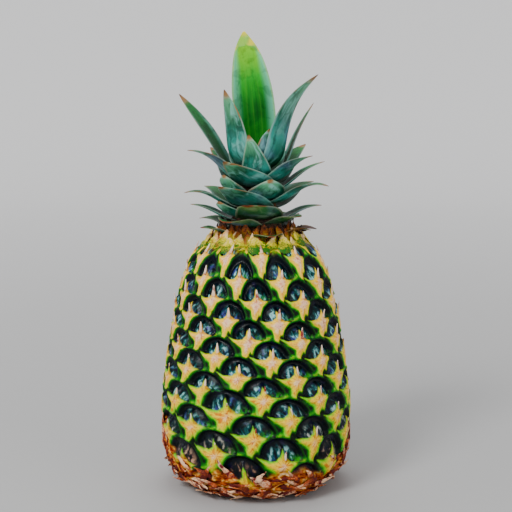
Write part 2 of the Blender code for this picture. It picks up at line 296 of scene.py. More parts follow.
class Recipe:
    """A material's node sheet, with short calls for the nodes used here."""

    def __init__(self, name: str, **shader: float) -> None:
        """Start a sheet with one shader.

        Args:
            name: The material's name.
            **shader: Constant shader sockets, with underscores for spaces.
        """
        self.material = bpy.data.materials.new(name)
        self.material.use_nodes = True
        self.tree = self.material.node_tree
        self.shader = self.tree.nodes["Principled BSDF"]
        for key, value in shader.items():
            self.shader.inputs[key.replace("_", " ")].default_value = value

    def node(self, kind: str, links: dict[object, object], **settings: object) -> bpy.types.Node:
        """Add a node and fill its inputs.

        Args:
            kind: Blender's node type.
            links: Input name or number to a socket or a constant.
            **settings: The node's own properties.

        Returns:
            The new node.
        """
        made = self.tree.nodes.new(kind)
        for key, value in settings.items():
            setattr(made, key, value)
        for key, value in links.items():
            value = value.socket if isinstance(value, Number) else value
            if isinstance(value, Socket):
                self.tree.links.new(value, made.inputs[key])
            elif value is not None:
                made.inputs[key].default_value = value
        return made

    def read(self, name: str) -> Number:
        """Return a named attribute's number."""
        return Number(self, self.node("ShaderNodeAttribute", {}, attribute_name=name).outputs["Fac"])

    def place(self) -> Socket:
        """Return the object's own coordinates, in metres."""
        return self.node("ShaderNodeTexCoord", {}).outputs["Object"]

    def height(self) -> Number:
        """Return the height above the table, in metres."""
        return Number(self, self.node("ShaderNodeSeparateXYZ", {0: self.place()}).outputs["Z"])

    def sum(self, kind: str, one: object, two: object = None) -> Number:
        """Return one step of arithmetic on numbers."""
        return Number(self, self.node("ShaderNodeMath", {0: one, 1: two}, operation=kind).outputs[0])

    def ease(self, value: Number, low: float, high: float, below: float = 0.0, above: float = 1.0) -> Number:
        """Return one number below low, another above high, and an ease between them."""
        links = {"Value": value, "From Min": low, "From Max": high, "To Min": below, "To Max": above}
        made = self.node("ShaderNodeMapRange", links, interpolation_type="SMOOTHSTEP")
        return Number(self, made.outputs["Result"])

    def fade(self, value: Number, low: float, high: float) -> Number:
        """Return 1 below low, 0 above high, and an ease between them."""
        return self.ease(value, low, high, 1.0, 0.0)

    def mottle(self, scale: float, detail: float = 3.0, where: object = None, twist: float = 0.0) -> Number:
        """Return a cloudy number round one half.

        Args:
            scale: Clouds in one unit of the coordinates.
            detail: How many finer layers it has.
            where: The coordinates, or None for the object's own.
            twist: How far the clouds are stirred.

        Returns:
            The cloud's number.
        """
        links = {"Vector": where or self.place(), "Scale": scale, "Detail": detail, "Distortion": twist}
        return Number(self, self.node("ShaderNodeTexNoise", links).outputs["Fac"])

    def stretched(self, x: float, y: float, z: float) -> Socket:
        """Return the object's coordinates, scaled along each axis."""
        return self.node("ShaderNodeMapping", {"Vector": self.place(), "Scale": (x, y, z)}).outputs[0]

    def stack(self, *parts: object) -> Socket:
        """Return three numbers as one set of coordinates."""
        return self.node("ShaderNodeCombineXYZ", dict(enumerate(parts))).outputs[0]

    def ramp(self, value: object, stops: Stops) -> Socket:
        """Return a colour from a scale of colours.

        Args:
            value: Where to look on the scale.
            stops: The scale's places and colours.

        Returns:
            The colour.
        """
        made = self.node("ShaderNodeValToRGB", {0: value})
        scale = made.color_ramp
        while len(scale.elements) < len(stops):
            scale.elements.new(0.5)
        for element, (position, colour) in zip(scale.elements, stops):
            element.position = position
            element.color = (*colour, 1.0)
        return made.outputs["Color"]

    def blend(self, share: object, under: object, over: object) -> Socket:
        """Return one colour laid over another.

        Args:
            share: How much of the upper colour shows.
            under: The lower colour.
            over: The upper colour.

        Returns:
            The mixed colour.
        """
        made = self.node("ShaderNodeMix", {}, data_type="RGBA")
        for socket, value in ((made.inputs[0], share), (made.inputs[6], under), (made.inputs[7], over)):
            value = value.socket if isinstance(value, Number) else value
            if isinstance(value, Socket):
                self.tree.links.new(value, socket)
            elif isinstance(value, tuple):
                socket.default_value = (*value, 1.0)
            else:
                socket.default_value = value
        return made.outputs[2]

    def finish(
        self, colour: object, roughness: object = None, relief: object = None, reach: float = 0.001,
        strength: float = 0.5,
    ) -> bpy.types.Material:
        """Join the sheet's ends to the shader.

        Args:
            colour: The base colour.
            roughness: The roughness, or None for the shader's own.
            relief: The height for fine bumps, or None for none.
            reach: How far a relief of 1 stands out, in metres.
            strength: How strongly the relief shows.

        Returns:
            The finished material.
        """
        self.tree.links.new(colour, self.shader.inputs["Base Color"])
        if roughness is not None:
            self.tree.links.new(roughness.socket, self.shader.inputs["Roughness"])
        if relief is not None:
            bump = self.node("ShaderNodeBump", {"Height": relief, "Distance": reach, "Strength": strength})
            self.tree.links.new(bump.outputs[0], self.shader.inputs["Normal"])
        return self.material


# ---------------------------------------------------------------- the eyes' lattice


@dataclass(frozen=True)
class EyeLattice:
    """Where the fruit's eyes sit: ten spirals one way, nine the other.

    A place is an angle from the front towards +X in degrees and a height in
    millimetres. The spirals crowd towards both ends and lean a little round
    the fruit, as they grew.
    """

    middle: float = 78.0
    right_spirals: int = 10
    left_spirals: int = 9
    step_turn: float = 14.14
    step_down: float = 11.47
    start_turn: float = 11.74
    start_rise: float = 14.16
    crowding: float = 0.092
    end_crowding: float = -0.135
    side_rise: float = 2.13
    side_slope: float = -3.94
    front_turn: float = -1.41
    front_twist: float = 11.06
    side_turn: float = 2.07
    side_twist: float = 7.10
    front_slope: float = -3.98
    closing_steps: int = 60
    closing_share: float = 0.7

    @property
    def steps(self) -> np.ndarray:
        """The two steps as columns: turn in degrees, drop in millimetres."""
        other_turn = (360.0 - self.left_spirals * self.step_turn) / self.right_spirals
        other_down = self.left_spirals * self.step_down / self.right_spirals
        return np.array([[self.step_turn, -other_turn], [self.step_down, other_down]])

    def straighten(self, turn: np.ndarray, height: np.ndarray) -> np.ndarray:
        """Undo the lean and the crowding.

        Args:
            turn: Angles from the front, in degrees.
            height: Heights, in millimetres.

        Returns:
            Two rows: the even turn and the even drop from the first eye.
        """
        angle = np.radians(turn)
        front, side = np.cos(angle), np.sin(angle)
        rise = (height - self.middle) / self.middle
        even = self.middle * rise * (1.0 + self.crowding * rise + self.end_crowding * rise ** 2)
        even = even + (self.side_rise + self.side_slope * rise) * side + self.front_slope * rise * front
        around = turn + (self.front_turn + self.front_twist * rise) * front
        around = around + (self.side_turn + self.side_twist * rise) * side
        return np.array([around - self.start_turn, self.start_rise - even])

    def place_of(self, right: int, left: int) -> tuple[float, float]:
        """Find the angle and height of one eye, by closing in on it.

        Args:
            right: Steps along the right-hand spiral.
            left: Steps along the left-hand spiral.

        Returns:
            Its angle in degrees and its height in millimetres.
        """
        goal = self.steps @ np.array([right, left], dtype=float)
        place = np.array([goal[0] + self.start_turn, self.middle + self.start_rise - goal[1]])
        for _ in range(self.closing_steps):
            off = self.straighten(place[0], place[1]) - goal
            place = place + np.array([-self.closing_share * off[0], self.closing_share * off[1]])
        return float(place[0]), float(place[1])

    def number(self, right: np.ndarray, left: np.ndarray) -> np.ndarray:
        """Return an eye's own number, the same whichever way round it is counted."""
        return self.right_spirals * right + self.left_spirals * left


@dataclass(frozen=True)
class EyeShape:
    """One eye's outline, in millimetres from the middle of its star.

    The star is the bract: a spike, two arms and two legs. The bowl is the dark
    pad above it, which the spike stands over.
    """

    spike: float = 8.6
    spike_foot: tuple[float, float] = (1.7, 4.0)
    neckline: tuple[float, float] = (4.8, 1.9)
    forearm: tuple[float, float] = (9.8, 1.6)
    arm: tuple[float, float] = (15.4, 3.0)
    armpit: tuple[float, float] = (9.4, -1.2)
    waist: tuple[float, float] = (5.6, -3.2)
    leg: float = 12.4
    leg_spread_low: float = 6.6
    leg_spread_high: float = 4.0
    notch: float = 5.0
    bowl_width: float = 13.6
    bowl_middle: float = 2.6
    bowl_above: float = 11.2
    bowl_below: float = 3.4
    unevenness: float = 0.10

    def star(self, spread: np.ndarray, wobble: np.ndarray) -> tuple[np.ndarray, np.ndarray]:
        """Return the star's corners for each point that asks.

        Args:
            spread: How far apart the legs stand, one number a point.
            wobble: Eight random numbers round 0 for each point, as rows.

        Returns:
            The corners' across and up, each as points by sixteen corners.
        """
        one = np.ones_like(spread)
        tips = 1.0 + self.unevenness * wobble
        half = []
        for side, leg_tip, arm_tip in ((1.0, 2, 1), (-1.0, 4, 5)):
            corners = [
                (side * x * one, y * one) for x, y in (self.spike_foot, self.neckline, self.forearm)
            ]
            corners.append((side * self.arm[0] * tips[arm_tip], self.arm[1] + 0.9 * wobble[arm_tip]))
            corners += [(side * x * one, y * one) for x, y in (self.armpit, self.waist)]
            corners.append((side * spread * tips[leg_tip], -self.leg * tips[7 if side > 0 else 2]))
            half.append(corners)
        ring = [
            (0.9 * wobble[0], self.spike * tips[6]), *half[0], (0.6 * wobble[3], -self.notch * tips[3]),
            *reversed(half[1]),
        ]
        return np.stack([corner[0] for corner in ring], 1), np.stack([corner[1] for corner in ring], 1)

    def bowl(self, across: np.ndarray, up: np.ndarray, wobble: np.ndarray) -> np.ndarray:
        """Return how far points lie inside the bowl's rim, negative outside.

        Args:
            across: The points' across.
            up: The points' up.
            wobble: Eight random numbers round 0 for each point, as rows.

        Returns:
            The depth inside the rim, in millimetres.
        """
        wide = self.bowl_width * (1.0 + 0.05 * wobble[0])
        lifted = up - self.bowl_middle
        tall = np.where(lifted > 0.0, self.bowl_above * (1.0 + 0.06 * wobble[3]), self.bowl_below)
        reach = np.sqrt((across / wide) ** 2 + (lifted / tall) ** 2)
        steep = np.sqrt((across / wide ** 2) ** 2 + (lifted / tall ** 2) ** 2) / np.maximum(reach, 1e-6)
        return (1.0 - reach) / np.maximum(steep, 1.0 / wide)


def outline_depth(across: np.ndarray, up: np.ndarray, corners: tuple[np.ndarray, np.ndarray]) -> np.ndarray:
    """Return how far points lie inside a closed outline, negative outside.

    Args:
        across: The points' across.
        up: The points' up.
        corners: The outline's across and up, points by corners.

    Returns:
        The signed depth, in the same unit.
    """
    nearest = np.full(across.shape, 1e9)
    inside = np.zeros(across.shape, dtype=bool)
    count = corners[0].shape[1]
    for index in range(count):
        ax, ay = corners[0][:, index], corners[1][:, index]
        bx, by = corners[0][:, index - 1], corners[1][:, index - 1]
        ex, ey = bx - ax, by - ay
        wx, wy = across - ax, up - ay
        share = np.clip((wx * ex + wy * ey) / (ex * ex + ey * ey), 0.0, 1.0)
        nearest = np.minimum(nearest, np.hypot(wx - share * ex, wy - share * ey))
        crosses = (ay > up) != (by > up)
        with np.errstate(divide="ignore", invalid="ignore"):
            hit = ax + (up - ay) * ex / ey
        inside ^= crosses & (across < hit)
    return np.where(inside, nearest, -nearest)


@dataclass
class EyePattern:
    """The pattern at many places of the skin, each number one per place."""

    star: np.ndarray
    bowl: np.ndarray
    across: np.ndarray
    up: np.ndarray
    tone: np.ndarray
    pit: np.ndarray


@dataclass
class EyeMaker:
    """Works out the star and bowl at any place of the skin."""

    lattice: EyeLattice = field(default_factory=EyeLattice)
    shape: EyeShape = field(default_factory=EyeShape)
    even_radius: float = 58.0
    wide_eye: tuple[float, float] = (-18.6, 59.9)
    wide_growth: float = 1.22
    seed: int = 11
    numbers: int = 400
    bowl_gap: float = 0.2
    star_lead: float = 1.5
    legs_close: tuple[float, float] = (60.0, 135.0)

    def __post_init__(self) -> None:
        """Draw each eye's own unevenness."""
        draw = np.random.default_rng(self.seed)
        self.wobble = draw.uniform(-1.0, 1.0, (self.numbers, 8))
        self.tone = draw.uniform(0.0, 1.0, self.numbers)
        steps = np.linalg.solve(self.lattice.steps, self.lattice.straighten(*map(np.float64, self.wide_eye)))
        nearest = np.round(steps)
        self.wide_number = int(self.lattice.number(nearest[0], nearest[1])) % self.numbers

    def pattern(self, turn: np.ndarray, height: np.ndarray) -> EyePattern:
        """Return the pattern at places on the skin.

        Args:
            turn: Angles from the front, in degrees.
            height: Heights, in millimetres.

        Returns:
            The pattern's numbers at each place.
        """
        lattice, shape = self.lattice, self.shape
        goal = lattice.straighten(turn, height)
        steps = np.linalg.solve(lattice.steps, goal)
        nearest = np.round(steps)
        to_mm = math.radians(1.0) * self.even_radius
        share = smooth(*self.legs_close, height)
        spread = shape.leg_spread_low + (shape.leg_spread_high - shape.leg_spread_low) * share
        eyes = []
        for right in (-1, 0, 1):
            for left in (-1, 0, 1):
                index = nearest + np.array([[right], [left]])
                off = goal - lattice.steps @ index
                number = lattice.number(index[0], index[1]).astype(int) % self.numbers
                grown = np.where(number == self.wide_number, self.wide_growth, 1.0)
                across, up = off[0] * to_mm / grown, -off[1] / grown
                wobble = self.wobble[number].T
                star = outline_depth(across, up, shape.star(spread, wobble))
                bowl = shape.bowl(across, up, wobble)
                pit = np.exp(-((across / (0.55 * spread)) ** 2 + ((up + shape.notch + 4.0) / 3.0) ** 2))
                eyes.append((star, bowl, across, up, self.tone[number], pit))
        stars = np.array([eye[0] for eye in eyes])
        bowls = np.array([eye[1] for eye in eyes])
        order = np.sort(bowls, axis=0)
        top, second = order[-1], order[-2]
        others = np.where(bowls == top, second, top)
        own_star = np.minimum(stars, -others - self.bowl_gap)
        owner = np.argmax(np.maximum(own_star + self.star_lead, bowls), axis=0)
        pick = (owner, np.arange(len(turn)))
        return EyePattern(
            star=own_star.max(0),
            bowl=bowls.max(0),
            across=np.array([eye[2] for eye in eyes])[pick],
            up=np.array([eye[3] for eye in eyes])[pick],
            tone=np.array([eye[4] for eye in eyes])[pick],
            pit=np.array([eye[5] for eye in eyes]).max(0),
        )

    def eyes_between(self, low: float, high: float) -> list[tuple[float, float, float]]:
        """List every eye once, with its angle, height and tone.

        Args:
            low: The lowest height, in millimetres.
            high: The highest height, in millimetres.

        Returns:
            Angle in degrees, height in millimetres and tone for each eye.
        """
        found = {}
        for right in range(-20, 21):
            for left in range(-20, 21):
                turn, height = self.lattice.place_of(right, left)
                if low <= height <= high and -182.0 <= turn <= 182.0:
                    number = int(self.lattice.number(right, left))
                    found.setdefault(number, (turn, height, self.tone[number % self.numbers]))
        return [found[number] for number in sorted(found)]


# ---------------------------------------------------------------- finishes


@dataclass(frozen=True)
class RindFinish:
    """The fruit's skin: cream and yellow stars, lime edges and dark glossy bowls, with painted highlights in
    the bowls and a painted shadow beside each star's spike.
    """

    cream: Colour = paint(252, 216, 160)
    lilac: Colour = paint(240, 186, 160)
    yellow: Colour = paint(248, 208, 0)
    orange: Colour = paint(206, 72, 0)
    lime: Colour = paint(104, 206, 0)
    leaf_green: Colour = paint(0, 98, 0)
    deep_green: Colour = paint(0, 18, 0)
    ink: Colour = paint(0, 2, 6)
    # The teal and frost colours below are the painted highlights streaked in the bowls.
    highlight_teal: Colour = paint(0, 118, 118)
    frost: Colour = paint(160, 228, 226)
    # The dark red below is both the star's own red flecks and the painted shadow beside its spike.
    fleck_and_shadow_red: Colour = paint(150, 8, 10)
    husk_red: Colour = paint(120, 26, 2)
    husk_dark: Colour = paint(44, 8, 2)

    def build(self) -> bpy.types.Material:
        """Return the finished material."""
        sheet = Recipe("rind_finish", Specular_IOR_Level=0.14)
        star, bowl = sheet.read("star"), sheet.read("bowl")
        across, up, tone = sheet.read("across"), sheet.read("up"), sheet.read("tone")
        husk, neck, pit = sheet.read("husk"), sheet.read("neck"), sheet.read("pit")
        high = sheet.ease(sheet.height(), 0.055, 0.115)
        fine = sheet.mottle(900.0, 5.0)
        broad = sheet.mottle(160.0, 4.0, twist=0.6)
        ragged = (broad - 0.5) * 2.4
        star = star + ragged * 0.5
        bowl = bowl + ragged * 0.35

        ground = self._ground(sheet, star, bowl, pit, ragged)
        inner = self._bowl(sheet, bowl, across, up, tone)
        bract = self._bract(sheet, star, across, up, tone, high, fine, ragged)
        colour = sheet.blend(sheet.ease(bowl, 0.3, 1.5), ground, inner)
        colour = sheet.blend(sheet.ease(star, -0.35, 0.45), colour, bract)
        colour = sheet.blend(neck, colour, self._neck(sheet))
        colour = sheet.blend(husk, colour, self._husk(sheet))

        gloss = sheet.ease(bowl, 1.0, 3.0)
        rough = (0.52 - gloss * 0.22 + husk * 0.3).held()
        relief = fine * 0.35 + broad * 0.65
        return sheet.finish(colour, rough, relief, 0.0012, 0.55)

    def _ground(self, sheet: Recipe, star: Number, bowl: Number, pit: Number, ragged: Number) -> Socket:
        """Return the green between the stars and the bowls."""
        near = sheet.ease(star + ragged * 0.9, -2.0, 0.2)
        green = sheet.ramp(
            near,
            ((0.0, self.deep_green), (0.45, self.leaf_green), (0.82, paint(30, 146, 0)), (1.0, self.lime)),
        )
        rim = sheet.fade(abs(bowl + 0.2), 0.1, 1.1)
        green = sheet.blend(rim * 0.5, green, paint(0, 92, 0))
        return sheet.blend((pit * 1.4).held(), green, self.deep_green)

    def _bowl(self, sheet: Recipe, bowl: Number, across: Number, up: Number, tone: Number) -> Socket:
        """Return the dark pad with pale streaks round the spike, which are painted highlights."""
        angle = sheet.sum("ARCTAN2", across, up + 2.5)
        reach = (across * across + up * up) ** 0.5
        where = sheet.stack(angle * 3.4, reach * 0.3, tone * 40.0)
        # Painted highlights: pale streaks round the spike, teal and frost high on the fruit, warm browns low
        # down.
        highlight_streak = sheet.ease(sheet.mottle(1.0, 4.0, where, 0.5), 0.36, 0.72)
        # They stay off the band under the bowl's rim, which is left dark as painted shade.
        zone = sheet.ease(bowl, 1.8, 4.6) * sheet.fade(reach, 6.8, 10.8)
        beside = sheet.ease(abs(across), 0.6, 2.4)
        # This share is how much painted highlight lies over the dark pad.
        light = (highlight_streak * zone * beside).held()
        cool_highlight = sheet.blend(sheet.ease(highlight_streak, 0.4, 1.0), self.highlight_teal, self.frost)
        cool_highlight = sheet.blend(sheet.ease(sheet.mottle(170.0, 2.0), 0.52, 0.66), cool_highlight, paint(70, 84, 170))
        warm_highlight = sheet.blend(sheet.ease(highlight_streak, 0.3, 0.9), paint(62, 40, 34), paint(214, 158, 120))
        highlight_tint = sheet.blend(sheet.ease(sheet.height(), 0.02, 0.07), warm_highlight, cool_highlight)
        highlight_tint = sheet.blend(sheet.ease(tone, 0.55, 0.85), highlight_tint, cool_highlight)
        dark = sheet.ramp(
            sheet.mottle(220.0, 3.0), ((0.3, self.ink), (0.56, paint(0, 10, 16)), (0.74, paint(14, 4, 44))),
        )
        inner = sheet.blend(light * 0.85, dark, highlight_tint)
        patch = sheet.ease(across, 2.0, 6.0) * sheet.fade(up, 1.0, 6.0) * sheet.ease(bowl, 0.8, 2.4)
        patch = (patch * sheet.ease(tone, 0.2, 0.9)).held()
        patch = patch * sheet.ease(sheet.mottle(330.0, 4.0, twist=0.8), 0.42, 0.62)
        return sheet.blend(patch, inner, paint(40, 150, 10))

    def _bract(
        self, sheet: Recipe, star: Number, across: Number, up: Number, tone: Number, high: Number, fine: Number,
        ragged: Number,
    ) -> Socket:
        """Return the star: pale in the middle, yellow then lime at the tips, with a painted shadow in dark red
        down the right of its spike.
        """
        reach = (across * across + up * up) ** 0.5 + ragged * 1.4
        angle = sheet.sum("ARCTAN2", across, up)
        where = sheet.stack(angle * 3.6, reach * 0.22, tone * 53.0)
        rays = sheet.mottle(1.0, 5.0, where, 0.5)
        level = star * 0.21 + high * 0.3 + (rays - 0.5) * 0.9
        colour = sheet.ramp(level, (
            (0.02, self.lime), (0.20, paint(196, 206, 0)), (0.38, self.yellow),
            (0.66, paint(250, 200, 64)), (0.90, self.cream),
        ))
        pale = sheet.ease(sheet.mottle(300.0, 3.0), 0.44, 0.6) * sheet.ease(level, 0.6, 1.0)
        colour = sheet.blend(pale * 0.8, colour, self.lilac)
        glow = sheet.fade(rays, 0.36, 0.5) * sheet.fade(high, -0.3, 2.2) * sheet.ease(star, 0.3, 1.4)
        colour = sheet.blend(glow * 0.75, colour, self.orange)
        tips = sheet.ease(reach, 9.0, 12.6) * sheet.fade(up, 3.0, 6.0)
        colour = sheet.blend(tips * 0.9, colour, self.lime)
        middle = sheet.fade(reach, 0.6, 3.4)
        fleck = sheet.ease(sheet.mottle(420.0, 2.0), 0.56, 0.66) * middle
        # The foot mask is a painted shadow: dark red down the right side of the spike, the side away from the
        # light.
        foot = sheet.ease(across, 0.5, 1.5) * (sheet.ease(up, 1.2, 2.6) * sheet.fade(up, 5.0, 7.5))
        # This mixes the star's real red flecks with that painted shadow.
        red = (fleck * 0.75 + foot * 0.6).held()
        colour = sheet.blend(sheet.fade(fine, 0.36, 0.5) * 0.35, colour, self.orange)
        return sheet.blend(red, colour, self.fleck_and_shadow_red)

    def _neck(self, sheet: Recipe) -> Socket:
        """Return the dry brown and orange shoulder under the crown."""
        where = sheet.stretched(260.0, 260.0, 70.0)
        grain = sheet.mottle(1.0, 5.0, where, 0.8)
        return sheet.ramp(grain, (
            (0.30, self.husk_dark), (0.42, paint(96, 44, 2)), (0.50, paint(110, 120, 0)),
            (0.60, paint(206, 190, 10)), (0.74, self.cream),
        ))

    def _husk(self, sheet: Recipe) -> Socket:
        """Return the wrinkled, dried foot."""
        where = sheet.stretched(110.0, 110.0, 240.0)
        grain = sheet.mottle(1.0, 6.0, where, 1.4)
        return sheet.ramp(
            grain,
            (
                (0.32, self.husk_dark), (0.44, self.husk_red), (0.53, paint(180, 84, 10)),
                (0.62, paint(220, 156, 50)), (0.72, self.cream), (0.82, paint(214, 110, 110)),
            ),
        )


@dataclass(frozen=True)
class ScaleFinish:
    """A dry scale, from its root colour to its tip colour."""

    name: str
    root: Colour
    middle: Colour
    tip: Colour
    stain: Colour
    roughness: float = 0.6
    variety: float = 1.0

    def build(self) -> bpy.types.Material:
        """Return the finished material."""
        sheet = Recipe(self.name, Specular_IOR_Level=0.25)
        along, tone = sheet.read("along"), sheet.read("tone")
        grain = sheet.mottle(700.0, 4.0, twist=0.8)
        shifted = along + (grain - 0.5) * 1.3 + (tone - 0.5) * self.variety
        colour = sheet.ramp(shifted, ((0.1, self.root), (0.5, self.middle), (0.9, self.tip)))
        stained = sheet.ease(sheet.mottle(260.0, 3.0), 0.46, 0.62) * sheet.ease(tone, 0.1, 0.9)
        colour = sheet.blend(stained, colour, self.stain)
        rough = grain * 0.2 + (self.roughness - 0.1)
        return sheet.finish(colour, rough, grain, 0.0006, 0.6)


@dataclass(frozen=True)
class LeafFinish:
    """A crown leaf: waxy bloom outside, deep green inside, a dry tip and edge, with painted shade at its foot
    and painted bluish-violet highlights outside.
    """

    name: str
    outer_low: Colour = paint(34, 146, 132)
    outer: Colour = paint(0, 84, 58)
    outer_high: Colour = paint(86, 160, 116)
    # The first dark colour below is painted shade at the leaf's foot, and also the leaf's own dark spots and
    # stripes.
    dark_marks_and_base_shade: Colour = paint(0, 34, 14)
    inner: Colour = paint(0, 72, 28)
    inner_high: Colour = paint(30, 112, 50)
    bloom: Colour = paint(132, 200, 192)
    edge: Colour = paint(196, 206, 186)
    dry: Colour = paint(140, 102, 60)
    burnt: Colour = paint(80, 40, 16)
    dry_from: float = 0.90
    mottled: float = 0.45
    striped: float = 1.0
    waxy: float = 0.55
    pale_sides: float = 0.35

    def build(self) -> bpy.types.Material:
        """Return the finished material."""
        sheet = Recipe(self.name, Specular_IOR_Level=0.22)
        along, cross, side = sheet.read("along"), sheet.read("cross"), sheet.read("inside")
        tone, rim = sheet.read("tone"), sheet.read("rim")
        seed = tone * 37.0
        grain = sheet.mottle(1.0, 5.0, sheet.stack(cross * 9.0, along * 1.8, seed), 0.6)
        cloud = sheet.mottle(1.0, 3.0, sheet.stack(cross * 1.6, along * 4.0, seed), 0.8)
        shifted = along + (cloud - 0.5) * 0.34
        # Both sides are painted darkest at the foot, as painted shade where the leaves crowd into the crown.
        outside = sheet.ramp(shifted, (
            (0.02, self.dark_marks_and_base_shade), (0.16, self.outer), (0.34, self.outer_low), (0.56, self.outer),
            (0.85, self.outer_high),
        ))
        inside = sheet.ramp(shifted, ((0.05, self.dark_marks_and_base_shade), (0.40, self.inner), (0.9, self.inner_high)))
        frost = sheet.ease(cloud, 0.46, 0.7) * self.waxy
        outside = sheet.blend(frost, outside, self.bloom)
        # Painted highlights: bluish-violet clouds laid over the outer skin.
        violet_highlight = sheet.ease(sheet.mottle(55.0, 2.0), 0.52, 0.72)
        outside = sheet.blend(violet_highlight * 0.3, outside, paint(120, 124, 190))
        margin = sheet.ease(abs(cross), 0.45, 0.95) * sheet.fade(along, 0.62, 0.86)
        inside = sheet.blend(margin * self.pale_sides, inside, self.bloom)
        colour = sheet.blend(side, outside, inside)
        spots = sheet.ease(sheet.mottle(150.0, 5.0, twist=0.8), 0.5, 0.64) * self.mottled
        colour = sheet.blend(spots, colour, self.dark_marks_and_base_shade)
        colour = sheet.blend(sheet.ease(grain, 0.54, 0.76) * (0.22 * self.striped), colour, self.outer_high)
        colour = sheet.blend(sheet.fade(grain, 0.28, 0.46) * (0.5 * self.striped), colour, self.dark_marks_and_base_shade)
        frayed = rim + (cloud - 0.5) * 2.0
        colour = sheet.blend(sheet.fade(frayed, -0.3, 0.7) * 0.34, colour, self.edge)
        crisp = sheet.fade(frayed, -0.1, 0.9) * sheet.ease(sheet.mottle(90.0, 2.0), 0.5, 0.62)
        colour = sheet.blend(crisp * sheet.ease(along, 0.45, 0.7), colour, self.dry)
        ragged = along + (grain - 0.5) * 0.12
        dried = sheet.ease(ragged, self.dry_from - 0.04, self.dry_from + 0.04)
        colour = sheet.blend(dried, colour, self.dry)
        colour = sheet.blend(sheet.ease(along, self.dry_from + 0.05, 1.0), colour, self.burnt)
        rough = grain * 0.25 + 0.32
        return sheet.finish(colour, rough, grain, 0.0006, 0.5)


# ---------------------------------------------------------------- the fruit


